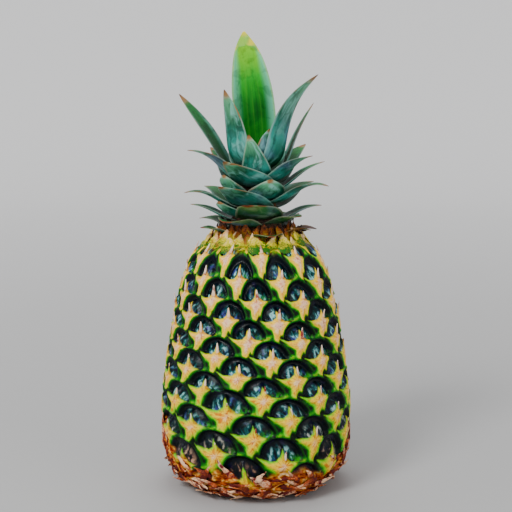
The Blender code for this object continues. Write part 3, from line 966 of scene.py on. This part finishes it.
@dataclass
class Fruit:
    """The fruit body's skin, with every eye raised in its own relief."""

    node: str = "fruit_body"
    segments: int = 400
    rings: int = 236
    widest: float = 1.015
    flat_spot: float = 37.0
    top_radius: float = 27.0
    outline: tuple[tuple[float, float], ...] = (
        (0.025, 0.78), (0.06, 0.90), (0.12, 0.98), (0.22, 1.01), (0.36, 1.015), (0.50, 0.97),
        (0.66, 0.90), (0.78, 0.835), (0.87, 0.76), (0.93, 0.69), (0.97, 0.60),
    )
    foot_rings: int = 8
    top_rings: int = 6
    eyes: EyeMaker = field(default_factory=EyeMaker)
    furrow: float = 1.7
    hollow: float = 2.3
    swelling: float = 2.2
    wrinkle: float = 2.2
    rough_grain: float = 5.0
    fold_grain: float = 6.0
    fold_rise: float = 0.22
    fold_top: float = 60.0
    deepest: float = 4.2
    husk_top: float = 20.0
    husk_swing: float = 13.0
    husk_hills: tuple[tuple[float, float, float], ...] = (
        (-82.0, 15.0, 24.0), (84.0, 16.0, 14.0), (150.0, 18.0, 10.0), (-140.0, 20.0, 8.0), (-10.0, 30.0, -3.0),
    )

    def __post_init__(self) -> None:
        """Read the node's size and lay out the profile."""
        low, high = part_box(self.node)
        self.height = (high.z - low.z) / MM
        self.radius = (high.x - low.x) / 2 / MM / self.widest
        self._lay_profile()

    def _lay_profile(self) -> None:
        """Turn the outline into an even run of points from foot to top."""
        knots = [(0.0, self.flat_spot)]
        knots += [(share * self.height, width * self.radius) for share, width in self.outline]
        knots.append((self.height, self.top_radius))
        heights, radii = [], []
        last = len(knots) - 2
        for span in range(last + 1):
            before, low = knots[max(span - 1, 0)], knots[span]
            high, after = knots[span + 1], knots[min(span + 2, last + 1)]
            reach = high[0] - low[0]
            low_slope = (high[1] - before[1]) / (high[0] - before[0])
            high_slope = (after[1] - low[1]) / (after[0] - low[0])
            for share in np.linspace(0.0, 1.0, 60, endpoint=span == last):
                square, cube = share ** 2, share ** 3
                heights.append(low[0] + share * reach)
                radii.append(
                    low[1] * (2 * cube - 3 * square + 1) + low_slope * reach * (cube - 2 * square + share)
                    + high[1] * (3 * square - 2 * cube) + high_slope * reach * (cube - square)
                )
        self.profile_height, self.profile_radius = np.array(heights), np.array(radii)
        steps = np.hypot(np.diff(self.profile_height), np.diff(self.profile_radius))
        self.profile_way = np.concatenate([[0.0], np.cumsum(steps)])

    def radius_at(self, height: np.ndarray) -> np.ndarray:
        """Return the outline's radius at heights, in millimetres."""
        return np.interp(height, self.profile_height, self.profile_radius)

    def husk_at(self, turn: np.ndarray, height: np.ndarray, rough: np.ndarray) -> np.ndarray:
        """Return how far the skin is dried husk, from 0 to 1."""
        def bump(middle: float, width: float) -> np.ndarray:
            """Return a hill round the fruit at one angle."""
            off = (turn - middle + 180.0) % 360.0 - 180.0
            return np.exp(-(off / width) ** 2)

        top = self.husk_top + self.husk_swing * rough
        for middle, width, rise in self.husk_hills:
            top = top + rise * bump(middle, width)
        return 1.0 - smooth(-2.5, 2.5, height - top)

    def skin_depth(self, pattern: EyePattern, height: np.ndarray, husk: np.ndarray) -> np.ndarray:
        """Return how far the skin lies under the outline, in millimetres."""
        depth = self.furrow * (1.0 - smooth(-2.2, 3.2, pattern.star))
        lip = np.exp(-((pattern.bowl - 0.3) / 1.2) ** 2)
        depth = depth - 0.9 * lip * smooth(0.2, 1.0, depth) + 0.9 * pattern.pit
        bare = 1.0 - smooth(-1.2, 1.0, pattern.star)
        depth = depth + self.hollow * smooth(0.4, 2.6, pattern.bowl) * bare
        depth = depth - self.swelling * smooth(2.6, 8.0, pattern.bowl) * bare
        ridge = np.exp(-(pattern.across / 1.5) ** 2) * smooth(1.0, 4.0, pattern.up)
        ridge = ridge * (1.0 - smooth(7.0, 11.0, pattern.up))
        depth = depth - 1.2 * ridge * (pattern.star > -3.0)
        ends = smooth(0.0, 14.0, height) * (1.0 - smooth(self.height - 10.0, self.height - 1.0, height))
        return np.clip(depth, 0.0, self.deepest) * ends * (1.0 - 0.75 * husk)

    def build(self) -> bpy.types.Object:
        """Model the skin and return it.

        Returns:
            The finished skin, which replaces the fruit's node.
        """
        select_only(None)
        bpy.ops.mesh.primitive_uv_sphere_add(segments=self.segments, ring_count=self.rings, radius=1.0)
        skin = bpy.context.object
        skin.name = skin.data.name = "fruit_skin"
        rows = places(skin.data)
        ring = 1.0 - np.arccos(np.clip(rows[:, 2], -1.0, 1.0)) / math.pi
        turn = np.degrees(np.arctan2(rows[:, 0], -rows[:, 1]))
        foot, top = self.foot_rings / self.rings, 1.0 - self.top_rings / self.rings
        way = np.interp(ring, (foot, top), (0.0, self.profile_way[-1]))
        height = np.interp(way, self.profile_way, self.profile_height)
        radius = np.interp(way, self.profile_way, self.profile_radius)
        radius = np.where(ring < foot, self.flat_spot * ring / foot, radius)
        radius = np.where(ring > top, self.top_radius * (1.0 - ring) / (1.0 - top), radius)
        slope_up = np.gradient(self.profile_height, self.profile_way)
        slope_out = np.gradient(self.profile_radius, self.profile_way)
        out = np.where((ring < foot) | (ring > top), 0.0, np.interp(way, self.profile_way, slope_up))
        up = np.where((ring < foot) | (ring > top), 0.0, -np.interp(way, self.profile_way, slope_out))
        pattern = self.eyes.pattern(turn, height)
        angle = np.radians(turn)
        rough = np.empty(len(rows))
        wrinkle = np.zeros(len(rows))
        for index in range(len(rows)):
            x, y, z = math.sin(angle[index]), -math.cos(angle[index]), height[index]
            rough[index] = noise.noise(Vector((x * self.rough_grain, y * self.rough_grain, 0.3)))
            if z < self.fold_top:
                fold = Vector((x * self.fold_grain, y * self.fold_grain, z * self.fold_rise))
                wrinkle[index] = abs(noise.fractal(fold, 0.7, 2.1, 4))
        husk = self.husk_at(turn, height, rough)
        depth = self.skin_depth(pattern, height, husk)
        folds = husk * smooth(1.5, 8.0, height) * self.wrinkle
        depth = depth + folds * (1.0 - 1.6 * np.clip(wrinkle, 0.0, 0.62))
        depth = np.maximum(depth, 0.0)
        radius = radius - depth * out
        height_now = np.maximum(height - depth * up, 0.0)
        rows = np.stack([radius * np.sin(angle), -radius * np.cos(angle), height_now], 1) * MM
        put(skin.data, rows)
        neck = smooth(self.height - 5.0, self.height - 1.0, height + 3.0 * rough)
        for name, values in (
            ("star", pattern.star), ("bowl", pattern.bowl), ("across", pattern.across), ("up", pattern.up),
            ("tone", pattern.tone), ("pit", pattern.pit), ("husk", husk), ("neck", neck),
        ):
            note(skin.data, name, values)
        shade_smooth(skin)
        skin.data.materials.append(RindFinish().build())
        hand_over(skin, (self.node,))
        return skin

    def stand(self, turn: float, height: float, sink: float, tilt: float = 0.0, roll: float = 0.0) -> Matrix:
        """Return a place on the skin: X across it, Y up it and Z out of it.

        Args:
            turn: The angle from the front, in degrees.
            height: The height, in millimetres.
            sink: How far under the outline it lies, in millimetres.
            tilt: How far the top leans outwards, in degrees.
            roll: How far it turns on the skin, in degrees.

        Returns:
            The place as a matrix, in metres.
        """
        radius = float(self.radius_at(np.array([height]))[0])
        slope = float(
            (self.radius_at(np.array([height + 1.0])) - self.radius_at(np.array([height - 1.0])))[0]
        ) / 2
        lean = math.atan(slope) + math.radians(tilt)
        place = Matrix.Rotation(math.radians(turn), 4, "Z")
        place = place @ Matrix.Translation((0.0, -(radius - sink) * MM, height * MM))
        return place @ OUTWARD @ Matrix.Rotation(lean, 4, "X") @ Matrix.Rotation(math.radians(roll), 4, "Z")


@dataclass
class ScaleShape:
    """A pointed scale, modelled once from a grid: root at the origin, tip at +Y."""

    length: float
    width: float
    thickness: float
    curl: float
    cup: float
    columns: int = 3
    rows: int = 5
    belly: float = 0.35

    def build(self, name: str) -> bpy.types.Object:
        """Model the scale.

        Args:
            name: The working name.

        Returns:
            The scale, in metres, with how far along it is kept for the finish.
        """
        select_only(None)
        bpy.ops.mesh.primitive_grid_add(x_subdivisions=self.columns, y_subdivisions=self.rows, size=2.0)
        scale = bpy.context.object
        scale.name = scale.data.name = name
        rows = places(scale.data)
        share = (rows[:, 1] + 1.0) / 2
        side = rows[:, 0]
        wide = self.width / 2 * ((1.0 - share) ** 0.75) * (
            1.0 + self.belly * np.sin(math.pi * share)
        ) + 0.02 * self.width
        across = side * wide
        rise = self.curl * share ** 2 + self.cup * (1.0 - side ** 2) * (1.0 - 0.5 * share)
        put(scale.data, np.stack([across, share * self.length, rise], 1) * MM)
        note(scale.data, "along", share)
        apply_modifier(scale, "SOLIDIFY", thickness=self.thickness * MM, offset=0.0)
        apply_modifier(scale, "SUBSURF", levels=1, render_levels=1)
        shade_smooth(scale)
        return scale


@dataclass
class BractSpikes:
    """The pale spike of each bract, which stands over its bowl."""

    fruit: Fruit
    shape: ScaleShape = field(default_factory=lambda: ScaleShape(6.6, 2.3, 0.6, 0.5, 0.7, belly=0.1))
    lowest: float = 24.0
    margin: float = 7.0
    seed: int = 5

    def build(self) -> bpy.types.Object:
        """Model one spike and stand a copy over every bowl."""
        draw = random.Random(self.seed)
        stands = []
        for turn, height, tone in self.fruit.eyes.eyes_between(self.lowest, self.fruit.height - self.margin):
            size = draw.uniform(0.85, 1.15)
            room = float(smooth(80.0, 110.0, np.array([height]))[0])
            tilt = draw.uniform(-4.0, 3.0) + 9.0 * room
            place = self.fruit.stand(turn, height + 2.6, 0.9 - 0.4 * room, tilt, draw.uniform(-9.0, 9.0))
            stands.append((place @ Matrix.Diagonal((size, size, 1.0, 1.0)), tone))
        spikes = join_copies("bract_spikes", self.shape.build("spike"), stands)
        finish = ScaleFinish(
            "spike_finish", paint(236, 190, 150), paint(246, 214, 190), paint(236, 214, 196),
            paint(140, 24, 16), 0.45, 0.2,
        )
        hand_over(dress(spikes, finish))
        return spikes


@dataclass
class FootHusk:
    """The ragged dried scales round the fruit's foot."""

    fruit: Fruit
    shape: ScaleShape = field(default_factory=lambda: ScaleShape(17.0, 4.4, 0.45, 1.2, 1.0, belly=0.5))
    seed: int = 21
    rows: tuple[tuple[float, int, float], ...] = (
        (2.0, 44, 88.0), (6.0, 44, 84.0), (11.0, 40, 80.0), (17.0, 30, 66.0),
    )
    tufts: tuple[tuple[float, float, float, int], ...] = (
        (-82.0, 14.0, 42.0, 12), (84.0, 14.0, 30.0, 9), (150.0, 16.0, 26.0, 6), (-140.0, 16.0, 24.0, 6),
    )

    def build(self) -> bpy.types.Object:
        """Model one scale and lay copies round the foot."""
        draw = random.Random(self.seed)
        stands = []
        for height, count, slant in self.rows:
            for index in range(count):
                turn = 360.0 * (index + draw.uniform(-0.35, 0.35)) / count
                up = height + draw.uniform(-1.6, 2.6)
                size = draw.uniform(0.65, 1.1)
                roll = draw.choice((-1.0, 1.0)) * draw.uniform(slant - 30.0, slant + 20.0)
                place = self.fruit.stand(turn, up, 1.0 + 0.6 * draw.random(), -6.0, roll)
                stands.append(
                    (place @ Matrix.Diagonal((size, size * draw.uniform(0.8, 1.2), 1.0, 1.0)), draw.random())
                )
        for turn, spread, top, count in self.tufts:
            for _ in range(count):
                up = draw.uniform(16.0, top)
                place = self.fruit.stand(
                    turn + draw.uniform(-spread, spread), up, 1.4, -3.0, draw.uniform(-35.0, 35.0),
                )
                size = draw.uniform(0.7, 1.05)
                stands.append((place @ Matrix.Diagonal((size, size, 1.0, 1.0)), draw.random()))
        husk = join_copies("foot_husk", self.shape.build("husk_scale"), stands)
        finish = ScaleFinish(
            "husk_finish", paint(86, 12, 6), paint(190, 84, 20), paint(248, 200, 158), paint(104, 8, 20), 0.65,
        )
        dress(husk, finish, (1.5, 0.16), (0.5, 0.7))
        self._keep_in_box(husk)
        hand_over(husk)
        return husk

    def _keep_in_box(self, husk: bpy.types.Object) -> None:
        """Hold every point above the table and inside the widest girth."""
        rows = places(husk.data)
        rows[:, 2] = np.maximum(rows[:, 2], 0.0002)
        girth = np.hypot(rows[:, 0], rows[:, 1])
        limit = self.fruit.radius * self.fruit.widest * MM
        held = np.minimum(1.0, limit / np.maximum(girth, 1e-9))
        rows[:, 0] *= held
        rows[:, 1] *= held
        put(husk.data, rows)


@dataclass(frozen=True)
class BractRow:
    """A ring of bracts: where it stands, how it leans and how big its bracts are."""

    below_top: float
    radius: float
    lean: float
    count: int
    size: float
    broad: float = 1.0
    dryness: float = 0.0


@dataclass
class NeckBracts:
    """Upright bracts between the fruit's shoulder and the crown, with a few dried ones curling out."""

    fruit: Fruit
    name: str
    finish: ScaleFinish
    rows: tuple[BractRow, ...]
    shape: ScaleShape = field(default_factory=lambda: ScaleShape(12.5, 3.8, 0.45, 1.6, 0.9, belly=0.5))
    seed: int = 8
    tuft: int = 0
    tuft_turn: tuple[float, float] = (62.0, 104.0)
    tuft_radius: tuple[float, float] = (21.0, 24.0)
    tuft_lean: tuple[float, float] = (28.0, 66.0)

    def build(self) -> bpy.types.Object:
        """Model one bract and stand copies round the neck, row by row."""
        draw = random.Random(self.seed)
        top = self.fruit.height
        stands = []

        def stand(
            turn: float, radius: float, height: float, lean: float, roll: float, grown: tuple[float, float],
            tone: float,
        ) -> None:
            """Stand one bract on the neck."""
            place = Matrix.Rotation(math.radians(turn), 4, "Z")
            place = place @ Matrix.Translation((0.0, -radius * MM, height * MM))
            place = place @ OUTWARD @ Matrix.Rotation(math.radians(-lean), 4, "X")
            place = place @ Matrix.Rotation(math.radians(roll), 4, "Z")
            stands.append((place @ Matrix.Diagonal((*grown, 1.0, 1.0)), tone))

        for row in self.rows:
            for index in range(row.count):
                grown = row.size * draw.uniform(0.78, 1.14)
                stand(
                    360.0 * (index + draw.uniform(-0.25, 0.25)) / row.count,
                    row.radius + draw.uniform(-1.0, 0.6), top - row.below_top + draw.uniform(-2.6, 1.0),
                    row.lean + draw.uniform(-8.0, 8.0), draw.uniform(-12.0, 12.0),
                    (grown * row.broad, grown), row.dryness + 0.25 * draw.random(),
                )
        for _ in range(self.tuft):
            grown = draw.uniform(0.7, 1.05)
            stand(
                draw.uniform(*self.tuft_turn), draw.uniform(*self.tuft_radius), top + draw.uniform(-0.5, 3.5),
                -draw.uniform(*self.tuft_lean), draw.uniform(-22.0, 22.0), (1.5 * grown, grown),
                0.75 + 0.25 * draw.random(),
            )
        bracts = join_copies(self.name, self.shape.build(f"{self.name}_one"), stands)
        hand_over(dress(bracts, self.finish, (1.2, 0.25), (0.5, 0.8)))
        return bracts


def shoulder_bracts(fruit: Fruit) -> NeckBracts:
    """Return the broad pale bracts which carry the eyes' pattern up the neck."""
    finish = ScaleFinish(
        "shoulder_finish", paint(14, 100, 0), paint(224, 206, 0), paint(250, 210, 170), paint(176, 64, 0), 0.55,
        0.8,
    )
    rows = (
        BractRow(7.5, 36.0, 44.0, 13, 1.15, 3.0, 0.2), BractRow(4.5, 33.0, 40.0, 15, 1.0, 2.6, 0.25),
        BractRow(2.0, 29.5, 30.0, 16, 0.9, 2.3, 0.3),
    )
    return NeckBracts(
        fruit, "shoulder_bracts", finish, rows, ScaleShape(12.5, 3.8, 0.45, 1.6, 1.9, belly=0.5), seed=5,
    )


def dry_bracts(fruit: Fruit) -> NeckBracts:
    """Return the thin dry bracts between the shoulder and the lowest leaves."""
    finish = ScaleFinish(
        "neck_finish", paint(150, 140, 0), paint(150, 72, 0), paint(50, 18, 2), paint(40, 12, 0), 0.6, 1.1,
    )
    rows = (
        BractRow(3.0, 31.0, 36.0, 26, 0.8, 1.3, 0.2), BractRow(1.0, 28.0, 26.0, 28, 0.85, 1.5, 0.2),
        BractRow(-1.0, 25.0, 14.0, 26, 0.85, 1.9, 0.4), BractRow(-3.5, 22.0, 10.0, 24, 0.8, 2.1, 0.5),
    )
    return NeckBracts(fruit, "neck_bracts", finish, rows, tuft=12)


# ---------------------------------------------------------------- the crown


@dataclass
class CrownLeafSkin:
    """One crown leaf, refined from a copy of its node."""

    node: str
    tone: float
    finish: bpy.types.Material
    thin_edge: float = 0.95

    def build(self) -> bpy.types.Object:
        """Copy the node's mesh, smooth it and mark its parts for the finish.

        Returns:
            The finished leaf, which replaces its node.
        """
        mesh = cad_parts[self.node].data.copy()
        leaf = add_object(self.node.replace("crown_leaf", "leaf_skin"), mesh)
        leaf.data.name = leaf.name
        mesh.materials.clear()
        for layer in list(mesh.attributes):
            if layer.domain == "CORNER" and not layer.is_required and not layer.is_internal:
                mesh.attributes.remove(layer)
        self._merge(mesh)
        self._mark_sides(mesh)
        apply_modifier(leaf, "SUBSURF", levels=2, render_levels=2)
        self._mark_along(leaf.data)
        shade_smooth(leaf)
        leaf.data.materials.append(self.finish)
        hand_over(leaf, (self.node,))
        return leaf

    def _merge(self, mesh: bpy.types.Mesh) -> None:
        """Merge the copy's loose triangles and turn them back into quads."""
        work = bmesh.new()
        work.from_mesh(mesh)
        bmesh.ops.remove_doubles(work, verts=work.verts, dist=0.00001)
        bmesh.ops.join_triangles(work, faces=work.faces, angle_face_threshold=0.6, angle_shape_threshold=1.2)
        bmesh.ops.recalc_face_normals(work, faces=work.faces)
        work.to_mesh(mesh)
        work.free()

    def _mark_sides(self, mesh: bpy.types.Mesh) -> None:
        """Find the thin edge faces, and tell the inner skin from the outer."""
        work = bmesh.new()
        work.from_mesh(mesh)
        work.verts.ensure_lookup_table()
        work.faces.ensure_lookup_table()
        edge_faces = {
            face for face in work.faces if sum(e.calc_length() < self.thin_edge * MM for e in face.edges) >= 1
        }
        skins, seen = [], set(edge_faces)
        for face in work.faces:
            if face in seen:
                continue
            island, queue = [], [face]
            seen.add(face)
            while queue:
                now = queue.pop()
                island.append(now)
                for edge in now.edges:
                    for other in edge.link_faces:
                        if other not in seen:
                            seen.add(other)
                            queue.append(other)
            skins.append(island)
        skins.sort(key=len, reverse=True)
        inside = np.zeros(len(work.verts))
        if len(skins) >= 2:
            def outward(island: list[bmesh.types.BMFace]) -> float:
                """Return how far an island faces away from the crown's axis, by its foot."""
                total = 0.0
                for face in island:
                    middle = face.calc_center_median()
                    out = Vector((middle.x, middle.y, 0.0))
                    total += face.normal.dot(out.normalized()) * face.calc_area() / (0.001 + out.length) ** 2
                return total

            inner = min(skins[:2], key=outward)
            for face in inner:
                for vert in face.verts:
                    inside[vert.index] = 1.0
        rim = np.zeros(len(work.verts))
        for face in edge_faces:
            for vert in face.verts:
                rim[vert.index] = 1.0
        work.free()
        note(mesh, "inside", inside)
        note(mesh, "edge", rim)

    def _mark_along(self, mesh: bpy.types.Mesh) -> None:
        """Keep how far along, across and from the edge each point lies."""
        rows = places(mesh) / MM
        edge = np.empty(len(rows))
        mesh.attributes["edge"].data.foreach_get("value", edge)
        girth = np.hypot(rows[:, 0], rows[:, 1])
        low = rows[(girth < girth.min() + 1.5)]
        root = low.mean(0)
        from_root = np.linalg.norm(rows - root, axis=1)
        tip = rows[np.argmax(from_root)]
        from_tip = np.linalg.norm(rows - tip, axis=1)
        along = from_root / (from_root + from_tip)
        rims = rows[edge > 0.98]
        if len(rims) < 8:
            rims = rows
        middle = rows.mean(0)
        out = unit(np.array([middle[0], middle[1], 0.0]))
        right = unit(np.cross(unit(tip - root), out))
        side = (rims - root) @ right
        reach = []
        for chosen in (rims[side >= 0.0], rims[side < 0.0]):
            gaps = np.linalg.norm(rows[:, None, :] - chosen[None, :, :], axis=2)
            reach.append(gaps.min(1) if len(chosen) else np.ones(len(rows)))
        note(mesh, "along", along)
        note(mesh, "cross", (reach[1] - reach[0]) / np.maximum(reach[0] + reach[1], 1e-6))
        note(mesh, "rim", np.minimum(reach[0], reach[1]))
        note(mesh, "tone", np.full(len(rows), self.tone))


class LeafKind(Enum):
    """The crown's sorts of leaf."""

    SPEAR = "spear"
    BLUE = "blue"
    DARK = "dark"
    DRY = "dry"


@dataclass
class Crown:
    """The crown: its stem and every leaf."""

    stem_node: str = "crown_stem"
    leaf_prefix: str = "crown_leaf_"
    spears: tuple[int, ...] = (1,)
    dry: tuple[int, ...] = (36,)
    dark: tuple[int, ...] = (26, 30, 31, 32, 33, 34, 35, 37, 38)
    seed: int = 3

    def finishes(self) -> dict[LeafKind, bpy.types.Material]:
        """Return one finish for each sort of leaf."""
        return {
            LeafKind.SPEAR: LeafFinish(
                "spear_finish", outer_low=paint(30, 130, 80), outer=paint(50, 150, 60),
                outer_high=paint(130, 200, 60), dark_marks_and_base_shade=paint(0, 60, 10), inner=paint(20, 168, 30),
                inner_high=paint(140, 216, 0), bloom=paint(110, 206, 170), edge=paint(190, 214, 120),
                dry=paint(226, 214, 60), burnt=paint(250, 236, 190),
                dry_from=0.93, mottled=0.36, striped=0.45, pale_sides=0.75,
            ).build(),
            LeafKind.BLUE: LeafFinish("blue_leaf_finish").build(),
            LeafKind.DARK: LeafFinish(
                "low_leaf_finish", outer_low=paint(30, 86, 52), outer=paint(36, 104, 54),
                outer_high=paint(110, 140, 70), dark_marks_and_base_shade=paint(6, 34, 14), inner=paint(20, 78, 34),
                bloom=paint(120, 150, 120), edge=paint(196, 186, 160),
                dry=paint(136, 60, 30), burnt=paint(60, 24, 14), dry_from=0.86, mottled=0.5,
            ).build(),
            LeafKind.DRY: LeafFinish(
                "dry_leaf_finish", outer_low=paint(120, 90, 40), outer=paint(110, 64, 30),
                outer_high=paint(80, 44, 26), dark_marks_and_base_shade=paint(50, 24, 12), inner=paint(120, 74, 36),
                inner_high=paint(96, 52, 30), bloom=paint(170, 130, 80), edge=paint(190, 150, 100),
                dry=paint(90, 50, 30), burnt=paint(52, 26, 16), dry_from=0.7, mottled=0.5,
            ).build(),
        }

    def kind_of(self, number: int) -> LeafKind:
        """Return which sort of leaf a number is."""
        if number in self.spears:
            return LeafKind.SPEAR
        if number in self.dry:
            return LeafKind.DRY
        return LeafKind.DARK if number in self.dark else LeafKind.BLUE

    def build(self) -> list[bpy.types.Object]:
        """Refine every leaf and dress the stem.

        Returns:
            The leaves.
        """
        draw = random.Random(self.seed)
        finishes = self.finishes()
        leaves = []
        for node in sorted(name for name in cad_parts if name.startswith(self.leaf_prefix)):
            number = int(node[len(self.leaf_prefix):])
            leaves.append(CrownLeafSkin(node, draw.random(), finishes[self.kind_of(number)]).build())
        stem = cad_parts[self.stem_node]
        stem.data.materials.clear()
        stem.data.materials.append(self._stem_shadow_finish())
        return leaves

    def _stem_shadow_finish(self) -> bpy.types.Material:
        """Return the crown stem's finish, with dark browns painted on as the shadow under the leaves."""
        sheet = Recipe("stem_shadow_finish", Specular_IOR_Level=0.4)
        where = sheet.stretched(300.0, 300.0, 40.0)
        grain = sheet.mottle(1.0, 4.0, where, 0.5)
        # Painted shadow: the stem is coloured dark brown, standing in for the shade that the leaves cast on it.
        colour = sheet.ramp(
            grain, ((0.3, paint(26, 16, 4)), (0.5, paint(70, 40, 8)), (0.7, paint(120, 80, 20))),
        )
        rough = grain * 0.2 + 0.5
        return sheet.finish(colour, rough, grain, 0.0005, 0.5)


# ---------------------------------------------------------------- the studio


@dataclass
class Studio:
    """A pale floor that curves up into its own backdrop, lights and the camera."""

    elevation: float = 8.5
    distance: float = 0.786
    aim_height: float = 0.150
    lens: float = 85.0
    floor_radius: float = 1.6
    wall_radius: float = 2.3
    wall_height: float = 0.8
    shaded_near_grey: float = 0.41
    lit_far_grey: float = 0.92
    surround: Colour = (0.80, 0.80, 0.81)
    surround_power: float = 0.8
    lamps: tuple[tuple[str, tuple[float, float, float], float, float], ...] = (
        ("key", (-0.8, -1.1, 1.3), 0.6, 27.0), ("fill", (1.3, -1.0, 0.7), 1.0, 5.0),
        ("top", (0.0, 0.5, 1.6), 1.0, 10.0),
    )

    def build(self) -> None:
        """Make the backdrop, the lights and the camera."""
        self._backdrop()
        self._lights()
        self._camera()

    def _backdrop(self) -> None:
        """Spin a floor-to-wall line round the object."""
        select_only(None)
        line = [(0.0, 0.0), (0.4, 0.0), (0.8, 0.0), (1.2, 0.0), (self.floor_radius, 0.0)]
        bend = self.wall_radius - self.floor_radius
        for step in range(1, 13):
            angle = math.radians(90.0 * step / 12)
            line.append((self.floor_radius + bend * math.sin(angle), bend * (1.0 - math.cos(angle))))
        line.append((self.wall_radius, self.wall_height))
        mesh = bpy.data.meshes.new("backdrop")
        mesh.from_pydata([(x, 0.0, z) for x, z in line], [(i, i + 1) for i in range(len(line) - 1)], [])
        sweep = add_object("backdrop", mesh)
        select_only(sweep)
        bpy.ops.object.mode_set(mode="EDIT")
        bpy.ops.mesh.select_all(action="SELECT")
        bpy.ops.mesh.spin(steps=96, angle=math.tau, center=(0, 0, 0), axis=(0, 0, 1))
        bpy.ops.mesh.select_all(action="SELECT")
        bpy.ops.mesh.remove_doubles(threshold=0.0001)
        bpy.ops.mesh.normals_make_consistent(inside=True)
        bpy.ops.object.mode_set(mode="OBJECT")
        bpy.ops.object.shade_smooth()
        sheet = Recipe("backdrop_finish", Roughness=0.9, Specular_IOR_Level=0.1)
        length = sheet.node("ShaderNodeVectorMath", {0: sheet.place()}, operation="LENGTH")
        away = Number(sheet, length.outputs["Value"])
        away = away + sheet.mottle(3.0, 2.0) * 0.05
        # Painted shading: the floor is painted darker near the object and paler out towards the wall.
        near, far = (self.shaded_near_grey,) * 3, (self.lit_far_grey,) * 3
        colour = sheet.ramp(sheet.ease(away, 0.1, 2.2), ((0.0, near), (1.0, far)))
        sweep.data.materials.append(sheet.finish(colour))

    def _aim(self, thing: bpy.types.Object, place: tuple[float, float, float]) -> None:
        """Stand a lamp or the camera at a place, facing the object."""
        thing.location = place
        aim = Vector((0.0, 0.0, self.aim_height)) - thing.location
        thing.rotation_euler = aim.to_track_quat("-Z", "Y").to_euler()

    def _area(self, name: str, place: tuple[float, float, float], size: float, power: float) -> None:
        """Add one soft light that faces the object."""
        light = bpy.data.lights.new(name, "AREA")
        light.shape = "DISK"
        light.size = size
        light.energy = power
        self._aim(add_object(name, light), place)

    def _lights(self) -> None:
        """Add the soft key, fill and top lights and an even surround."""
        for lamp in self.lamps:
            self._area(*lamp)
        world = bpy.data.worlds.new("surround")
        world.use_nodes = True
        surround = world.node_tree.nodes["Background"]
        surround.inputs["Color"].default_value = (*self.surround, 1.0)
        surround.inputs["Strength"].default_value = self.surround_power
        bpy.context.scene.world = world

    def _camera(self) -> None:
        """Stand the camera in front, a little above."""
        lens = bpy.data.cameras.new("camera")
        lens.lens = self.lens
        camera = add_object("camera", lens)
        tilt = math.radians(self.elevation)
        rise = self.aim_height + self.distance * math.sin(tilt)
        self._aim(camera, (0.0, -self.distance * math.cos(tilt), rise))
        bpy.context.scene.camera = camera


def main() -> None:
    """Build every piece in order, and report each one."""
    logging.basicConfig(level=logging.INFO, format="%(name)s: %(message)s")
    Studio().build()
    fruit = Fruit()
    for piece in (
        fruit.build(), BractSpikes(fruit).build(), FootHusk(fruit).build(), shoulder_bracts(fruit).build(),
        dry_bracts(fruit).build(),
    ):
        LOG.info("%s: %d faces", piece.name, len(piece.data.polygons))
    leaves = Crown().build()
    LOG.info("%d leaves, %d faces", len(leaves), sum(len(leaf.data.polygons) for leaf in leaves))


if __name__ == "__main__":
    main()
